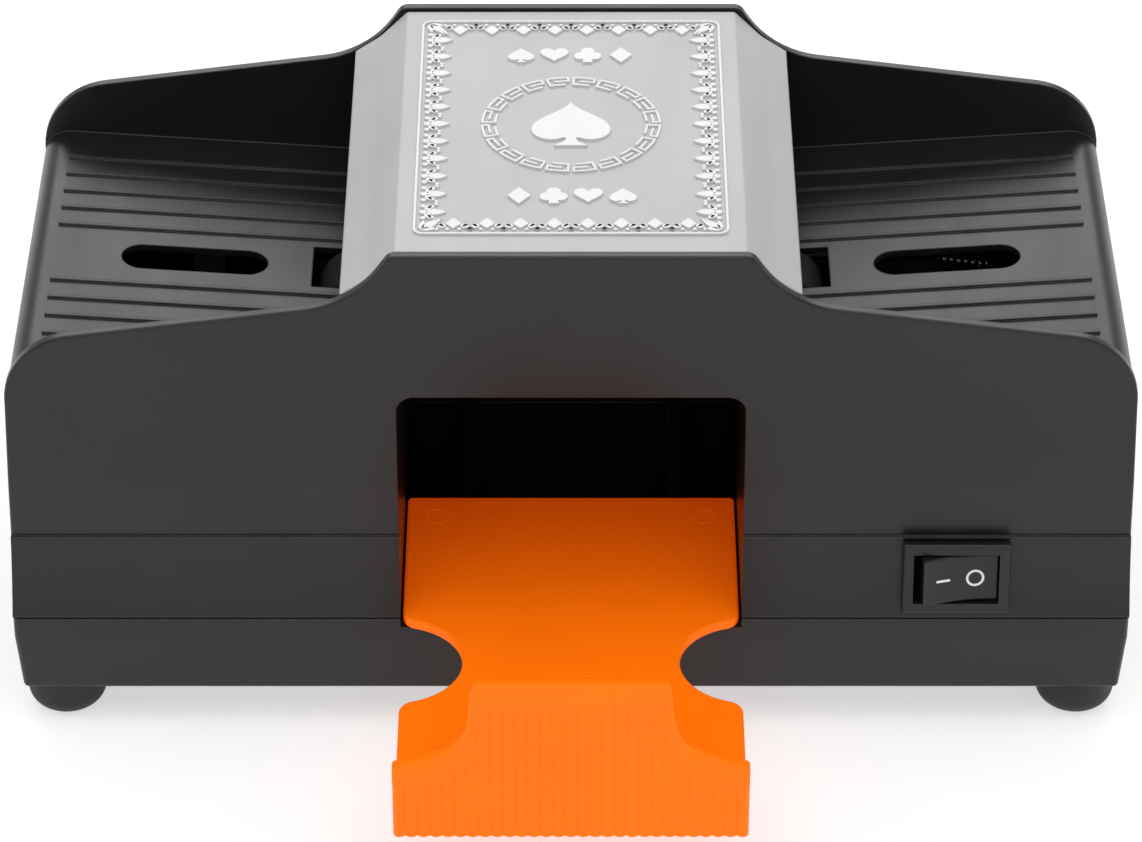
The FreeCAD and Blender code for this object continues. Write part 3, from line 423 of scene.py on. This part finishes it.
def ring_shapes():
    """A plain key pattern bent round a circle: each key is a closed bar with one hook."""
    shapes = []
    keys, inner, outer, thick = 20, 14.5, 17.5, 0.5
    gap = 0.018

    def sector(r0, r1, a0, a1):
        steps = max(2, int((a1 - a0) * outer / 0.6) + 1)
        arc = [a0 + (a1 - a0) * i / steps for i in range(steps + 1)]
        return [Vector((r1 * math.cos(a), r1 * math.sin(a))) for a in arc] \
            + [Vector((r0 * math.cos(a), r0 * math.sin(a))) for a in reversed(arc)]

    step = 2 * math.pi / keys
    side = thick / ((inner + outer) / 2)
    middle = (inner + outer) / 2
    for key in range(keys):
        a0 = key * step + gap
        a1 = (key + 1) * step - gap
        shapes.append(sector(outer - thick, outer, a0, a1))
        shapes.append(sector(inner, inner + thick, a0 + 1.6 * side, a1))
        shapes.append(sector(inner + thick, outer - thick, a1 - side, a1))
        shapes.append(sector(middle - thick / 2, outer - thick, a0, a0 + side))
        shapes.append(sector(middle - thick / 2, middle + thick / 2, a0 + side, a1 - 2.6 * side))
    return shapes


def heart(size):
    """A heart that points down, as wide as the size."""
    steps = 40
    points = []
    for i in range(steps):
        t = 2 * math.pi * i / steps
        x = 16 * math.sin(t) ** 3
        y = 13 * math.cos(t) - 5 * math.cos(2 * t) - 2 * math.cos(3 * t) - math.cos(4 * t)
        points.append(Vector((x, y + 2)) * (size / 32))
    return list(reversed(points))


def spade(size):
    """A heart upside down, with a flared stem in place of its cleft."""
    body = [p for p in moved(heart(size * 0.94), 0, size * 0.04, math.pi)
            if abs(p.x) > 0.07 * size or p.y > 0]
    foot = [(-0.05, -0.33), (-0.09, -0.42), (-0.2, -0.5), (0.2, -0.5), (0.09, -0.42),
            (0.05, -0.33)]
    return body + [Vector(corner) * size for corner in foot]


def club(size):
    """Three lobes and a wedge for a stem, read off along rays from the middle."""
    lobes = [Vector(centre) for centre in ((0, 0.22), (-0.235, -0.09), (0.235, -0.09))]
    lobe_r, wedge, steps = 0.245, math.radians(20.5), 72
    points = []
    for step in range(steps):
        turn = 2 * math.pi * step / steps
        ray = Vector((math.cos(turn), math.sin(turn)))
        reach = 0.1
        for centre in lobes:
            along = ray.dot(centre)
            inside = lobe_r ** 2 - centre.length_squared + along ** 2
            if along > 0 and inside > 0:
                reach = max(reach, along + math.sqrt(inside))
        if -ray.y > math.cos(wedge):
            reach = max(reach, 0.52 / -ray.y)
        points.append((ray * reach + Vector((0, 0.02))) * size)
    return points


def suit_shapes(suit, x, y, size):
    """Outlines of one card suit, centred at x, y."""
    if suit == "heart":
        shapes = [heart(size)]
    elif suit == "diamond":
        shapes = [rounded([(0, -size * 0.52, 0.1), (size * 0.4, 0, 0.1), (0, size * 0.52, 0.1),
                           (-size * 0.4, 0, 0.1)])]
    elif suit == "spade":
        shapes = [spade(size)]
    else:
        shapes = [club(size)]
    return [moved(points, x, y) for points in shapes]


def build_relief(materials):
    """Everything that stands up from the cover: frame, border, key ring and card suits."""
    suits = []
    for row_y, order in ((SUIT_ROW, ("spade", "heart", "club", "diamond")),
                         (-SUIT_ROW, ("diamond", "club", "heart", "spade"))):
        for index, suit in enumerate(order):
            suits += suit_shapes(suit, (index - 1.5) * SUIT_PITCH, row_y, SUIT_SIZE)
    emblem = suit_shapes("spade", 0, EMBLEM_Y, EMBLEM_SIZE)
    finish_piece(frame_line("relief_frame", materials["relief"]), "root")
    for name, shapes, bevel in (("relief_border", border_shapes(), 0.1),
                                ("relief_ring", ring_shapes(), 0.08),
                                ("relief_emblem", emblem, 0.12), ("relief_suits", suits, 0.1)):
        piece = slabs(name, shapes, RELIEF_LOW, RELIEF_HIGH, on_cover, materials["relief"], bevel)
        finish_piece(piece, "root")


# ---------------------------------------------------------------- card tray
FLUTE_COUNT, FLUTE_DEEP = 29, 0.55
FADE_FROM, FADE_OVER, PLAIN_BAND = 2.4, 3.0, 5.8
LIP_T, PLATE_T = 3.0, 2.0
TOP_R, SIDE_R, BACK_R = 0.9, 0.7, 0.5
PLATE_X, PLATE_IN_Y, PLATE_Z = 32.9, -9.0, 27.0
LIP_SIDE_Z, LIP_FLAT_X, LIP_BEND, LIP_BEND_R = 26.2, 18.6, (19.9, 31.5), 10.0
NOTCH_X, NOTCH_Y, NOTCH_R, NOTCH_ROUND = 21.0, -63.0, 12.9, 3.5
PIN_X, PIN_BACK, PIN_R, PIN_BEAD = 26.8, 6.6, 2.3, 0.24


def lip_top():
    """Height of the lip over its half width, as points from the middle to the side."""
    lip_x, lip_z = TRAY_HIGH.x / MM, TRAY_HIGH.z / MM
    corners = [(0, lip_z, 0), (LIP_FLAT_X, lip_z, 1.3), (*LIP_BEND, LIP_BEND_R),
               (lip_x, LIP_SIDE_Z, 0.9), (lip_x, 0, 0), (0, 0, 0)]
    points = rounded(corners)
    return [p for p in points if p.y > LIP_SIDE_Z - 0.8]


def height_at(points, x):
    """Straight-line reading of the outline's height at x."""
    x = abs(x)
    for first, second in zip(points, points[1:]):
        if first.x <= x <= second.x and second.x > first.x:
            share = (x - first.x) / (second.x - first.x)
            return first.y + share * (second.y - first.y)
    return points[-1].y


def lip_columns(points):
    """X of each column of the lip's grid: several to a flute, more where the top falls fast."""
    lip_x = TRAY_HIGH.x / MM
    pitch = 2 * lip_x / FLUTE_COUNT
    columns = {round(-lip_x + pitch * i / 8, 4) for i in range(FLUTE_COUNT * 8 + 1)}
    columns |= {round(sign * p.x, 4) for p in points for sign in (1, -1)}
    ordered = sorted(columns)
    kept = [ordered[0]]
    for x in ordered[1:]:
        if x - kept[-1] > 0.04:
            kept.append(x)
    kept[-1] = ordered[-1]
    return kept


def curl(radius, reach):
    """How far a rounded edge has fallen back, at a distance reach inside its radius."""
    return radius - math.sqrt(max(0.0, radius ** 2 - max(0.0, reach) ** 2))


def build_lip():
    """Closed mesh of the lip: fluted front, plain band along its rounded top edge."""
    top = lip_top()
    front = (TRAY_LOW.y - MIDDLE_Y) / MM
    back = front + LIP_T
    low = TRAY_LOW.z / MM
    lip_x = TRAY_HIGH.x / MM
    pitch = 2 * lip_x / FLUTE_COUNT
    depths = [0.0, 0.12, 0.3, 0.55, 0.9, 1.4, 2.2, 2.8, 3.4, 4.0, 4.6, 5.2, PLAIN_BAND]
    mesh = bmesh.new()
    fronts, backs = [], []
    for x in lip_columns(top):
        crest = height_at(top, x)
        levels = [crest - depth for depth in depths]
        levels += [low + (crest - PLAIN_BAND - low) * share for share in (0.5, 0.1, 0)]
        phase = (x + lip_x) / pitch
        groove = FLUTE_DEEP * (1 - abs(math.sin(math.pi * phase)) ** 0.9)
        side_curl = curl(SIDE_R, SIDE_R - (lip_x - abs(x)))
        column_front, column_back = [], []
        for z in levels:
            drop = crest - z
            fade = min(1.0, max(0.0, (drop - FADE_FROM) / FADE_OVER))
            fade = fade * fade * (3 - 2 * fade)
            deep = groove * fade + max(curl(TOP_R, TOP_R - drop), side_curl)
            column_front.append(mesh.verts.new(row(x, front + deep, z)))
            column_back.append(mesh.verts.new(row(x, back - curl(BACK_R, BACK_R - drop), z)))
        fronts.append(column_front)
        backs.append(column_back)
    for grid, flip in ((fronts, False), (backs, True)):
        for a, b in zip(grid, grid[1:]):
            for i in range(len(a) - 1):
                quad = (a[i], a[i + 1], b[i + 1], b[i])
                mesh.faces.new(tuple(reversed(quad)) if flip else quad)
    for i in (0, -1):
        for a, b, c, d in zip(fronts, fronts[1:], backs[1:], backs):
            mesh.faces.new((a[i], b[i], c[i], d[i]))
    for k in (0, -1):
        for i in range(len(fronts[0]) - 1):
            mesh.faces.new((fronts[k][i], fronts[k][i + 1], backs[k][i + 1], backs[k][i]))
    return close_mesh("tray_lip", mesh)


def arc(x, y, radius, start, stop, steps):
    """Points of an arc about x, y; its angles are in degrees."""
    turns = [math.radians(start + (stop - start) * i / steps) for i in range(steps + 1)]
    return [Vector((x + radius * math.cos(turn), y + radius * math.sin(turn))) for turn in turns]


def plate_outline():
    """The plate from above, with a round finger notch in each side."""
    front = (TRAY_LOW.y - MIDDLE_Y) / MM + LIP_T / 2
    centre_x, round_x = NOTCH_X + NOTCH_R, PLATE_X - NOTCH_ROUND
    reach = math.sqrt((NOTCH_R + NOTCH_ROUND) ** 2 - (centre_x - round_x) ** 2)
    lean = math.degrees(math.atan2(reach, centre_x - round_x))
    right = [Vector((PLATE_X, front))]
    right += arc(round_x, NOTCH_Y - reach, NOTCH_ROUND, 0, lean, 10)
    right += arc(centre_x, NOTCH_Y, NOTCH_R, lean - 180, -lean - 180, 40)[1:-1]
    right += arc(round_x, NOTCH_Y + reach, NOTCH_ROUND, -lean, 0, 10)
    right += arc(PLATE_X - 1, PLATE_IN_Y - 1, 1, 0, 90, 5)
    return right + [Vector((-p.x, p.y)) for p in reversed(right)]


def build_tray(materials):
    """The orange tray: plate and lip joined in one mesh, and two ejector-pin rings."""
    orange = materials["tray_orange"]
    plate = slabs("tray_plate", [plate_outline()], PLATE_Z - PLATE_T, PLATE_Z, row, orange, 0.45)
    tray = new_object("tray_shell", build_lip(), orange)
    union = tray.modifiers.new("Join", "BOOLEAN")
    union.operation = "UNION"
    union.solver = "EXACT"
    union.object = plate
    bpy.context.view_layer.update()
    graph = bpy.context.evaluated_depsgraph_get()
    joined = bpy.data.meshes.new_from_object(tray.evaluated_get(graph))
    tray.modifiers.clear()
    tray.data = joined
    joined.name = "tray_shell"
    bpy.data.objects.remove(plate)
    smooth(tray, 40)
    weigh = tray.modifiers.new("Weighted", "WEIGHTED_NORMAL")
    weigh.keep_sharp = True
    finish_piece(tray, "card_tray")
    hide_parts("card_tray")
    centres = [(sign * PIN_X, PLATE_IN_Y - PIN_BACK) for sign in (1, -1)]
    rings = ring_bead("tray_pin_marks", centres, PIN_R, PIN_BEAD, orange)
    finish_piece(rings, "card_tray")


def ring_bead(name, centres, radius, bead, material):
    """Fine raised circles on the plate, left by the mould's ejector pins."""
    mesh = bmesh.new()
    around, across = 40, 8
    for x, y in centres:
        loops = []
        for j in range(across):
            tilt = 2 * math.pi * j / across
            reach = radius + bead * math.cos(tilt)
            z = PLATE_Z - 0.04 + bead * 0.8 * math.sin(tilt)
            loops.append([mesh.verts.new(row(p.x, p.y, z))
                          for p in circle_points(x, y, reach, around)])
        for first, second in zip(loops, loops[1:] + loops[:1]):
            add_band(mesh, first, second)
    piece = new_object(name, close_mesh(name, mesh), material)
    smooth(piece, 80)
    return piece


# ---------------------------------------------------------------- switch marks
ROCKER_UP, ROCKER_HOLLOW_R, ROCKER_HALF, ROCKER_TURN = 2.2, 31.0, 7.4, 12.0
PIN_DEEP, MARK_HIGH = 1.5, 0.05


def on_rocker(x, y, z):
    """A point on the rocker's hollow face: x along it, y up it and z out of it."""
    joint = next(j for j in frame["joints"] if j["name"] == "switch_rock")
    pin, up = Vector(joint["pos_m"]), -Vector(joint["axis"]).normalized()
    inward = up.cross(Vector((1, 0, 0)))
    turn = math.radians(ROCKER_TURN)
    along = Vector((1, 0, 0)) * math.cos(turn) + inward * math.sin(turn)
    deep = inward * math.cos(turn) - Vector((1, 0, 0)) * math.sin(turn)
    edge = math.sqrt(ROCKER_HOLLOW_R ** 2 - ROCKER_HALF ** 2)
    surface = math.sqrt(ROCKER_HOLLOW_R ** 2 - x ** 2) - edge - ROCKER_UP - PIN_DEEP
    return pin + (along * x + up * y + deep * (surface - z)) * MM


def build_switch_marks(materials):
    """A dash and a ring printed in white on the rocker."""
    bar = rounded([(-4.75, -0.26, 0.2), (-1.85, -0.26, 0.2), (-1.85, 0.26, 0.2),
                   (-4.75, 0.26, 0.2)])
    dash = slabs("switch_dash", [bar], -MARK_HIGH, MARK_HIGH, on_rocker, materials["mark"], 0)
    mesh = bmesh.new()
    loops = []
    for radius, high in ((1.32, -MARK_HIGH), (1.32, MARK_HIGH), (1.80, MARK_HIGH),
                         (1.80, -MARK_HIGH)):
        loops.append([mesh.verts.new(on_rocker(p.x, p.y, high))
                      for p in circle_points(3.15, 0, radius, 48)])
    for first, second in zip(loops, loops[1:] + loops[:1]):
        add_band(mesh, first, second)
    ring = new_object("switch_ring", close_mesh("switch_ring", mesh), materials["mark"])
    smooth(ring)
    for piece in (dash, ring):
        finish_piece(piece, "switch_rocker")


# ---------------------------------------------------------------- studio
CAMERA_PITCH, CAMERA_AWAY, CAMERA_AIM_Z = 35, 1.0114, 39.47
CAMERA_LENS, CAMERA_SENSOR = 157.66, 36.0


def area_light(name, place, target, size, power):
    """A rectangular light at a place, aimed at the target."""
    data = bpy.data.lights.new(name, "AREA")
    data.shape = "RECTANGLE"
    data.size, data.size_y = size
    data.energy = power
    lamp = bpy.data.objects.new(name, data)
    lamp.location = place
    lamp.rotation_euler = (Vector(target) - Vector(place)).to_track_quat("-Z", "Y").to_euler()
    bpy.context.scene.collection.objects.link(lamp)


def build_studio():
    """Pale floor, a broad overhead light and soft fills."""
    scene = bpy.context.scene
    scene.view_settings.view_transform = "Standard"
    world = bpy.data.worlds.new("studio")
    world.use_nodes = True
    sky = world.node_tree.nodes["Background"]
    sky.inputs["Color"].default_value = (1, 1, 1, 1)
    sky.inputs["Strength"].default_value = 0.5
    scene.world = world
    mesh = bmesh.new()
    bmesh.ops.create_grid(mesh, x_segments=8, y_segments=8, size=4.0)
    data = bpy.data.meshes.new("studio_floor")
    mesh.to_mesh(data)
    mesh.free()
    paper = moulded("floor_paper", (0.52, 0.52, 0.52), 0.9, 300.0, 0.00002, (0.52, 0.52, 0.52),
                    0.0002, 0.01)
    shader = paper.node_tree.nodes["Principled BSDF"]
    shader.inputs["Emission Color"].default_value = (1, 1, 1, 1)
    shader.inputs["Emission Strength"].default_value = 0.58
    floor = new_object("studio_floor", data, paper)
    middle = (0, MIDDLE_Y, 0.06)
    area_light("overhead", (0, MIDDLE_Y - 0.3, 1.25), middle, (1.5, 1.2), 8)
    area_light("back", (0, MIDDLE_Y + 1.4, 1.0), middle, (1.8, 0.9), 12)
    area_light("front_fill", (0, MIDDLE_Y - 1.5, 0.9), middle, (1.2, 0.6), 1.6)
    area_light("left_rim", (-1.3, MIDDLE_Y, 0.5), middle, (0.4, 0.9), 2)
    area_light("right_rim", (1.3, MIDDLE_Y, 0.5), middle, (0.4, 0.9), 2)


def build_camera():
    """The camera looks down 35 degrees at the middle of the housing."""
    pitch = math.radians(CAMERA_PITCH)
    target = row(0, 0, CAMERA_AIM_Z)
    data = bpy.data.cameras.new("camera")
    data.lens = CAMERA_LENS
    data.sensor_width = CAMERA_SENSOR
    camera = bpy.data.objects.new("camera", data)
    camera.location = target + Vector((0, -math.cos(pitch), math.sin(pitch))) * CAMERA_AWAY
    camera.rotation_euler = (math.pi / 2 - pitch, 0, 0)
    bpy.context.scene.collection.objects.link(camera)
    bpy.context.scene.camera = camera


def dress_cad(materials):
    """Give every CAD node the material of its slot."""
    for subpart in frame["record"]["subparts"]:
        node = frame["nodes"][subpart["node"]]
        node.data.materials.clear()
        node.data.materials.append(materials[subpart["material_slot"]])


def main():
    build_camera()
    materials = make_materials()
    dress_cad(materials)
    build_relief(materials)
    build_tray(materials)
    build_switch_marks(materials)
    build_studio()


main()
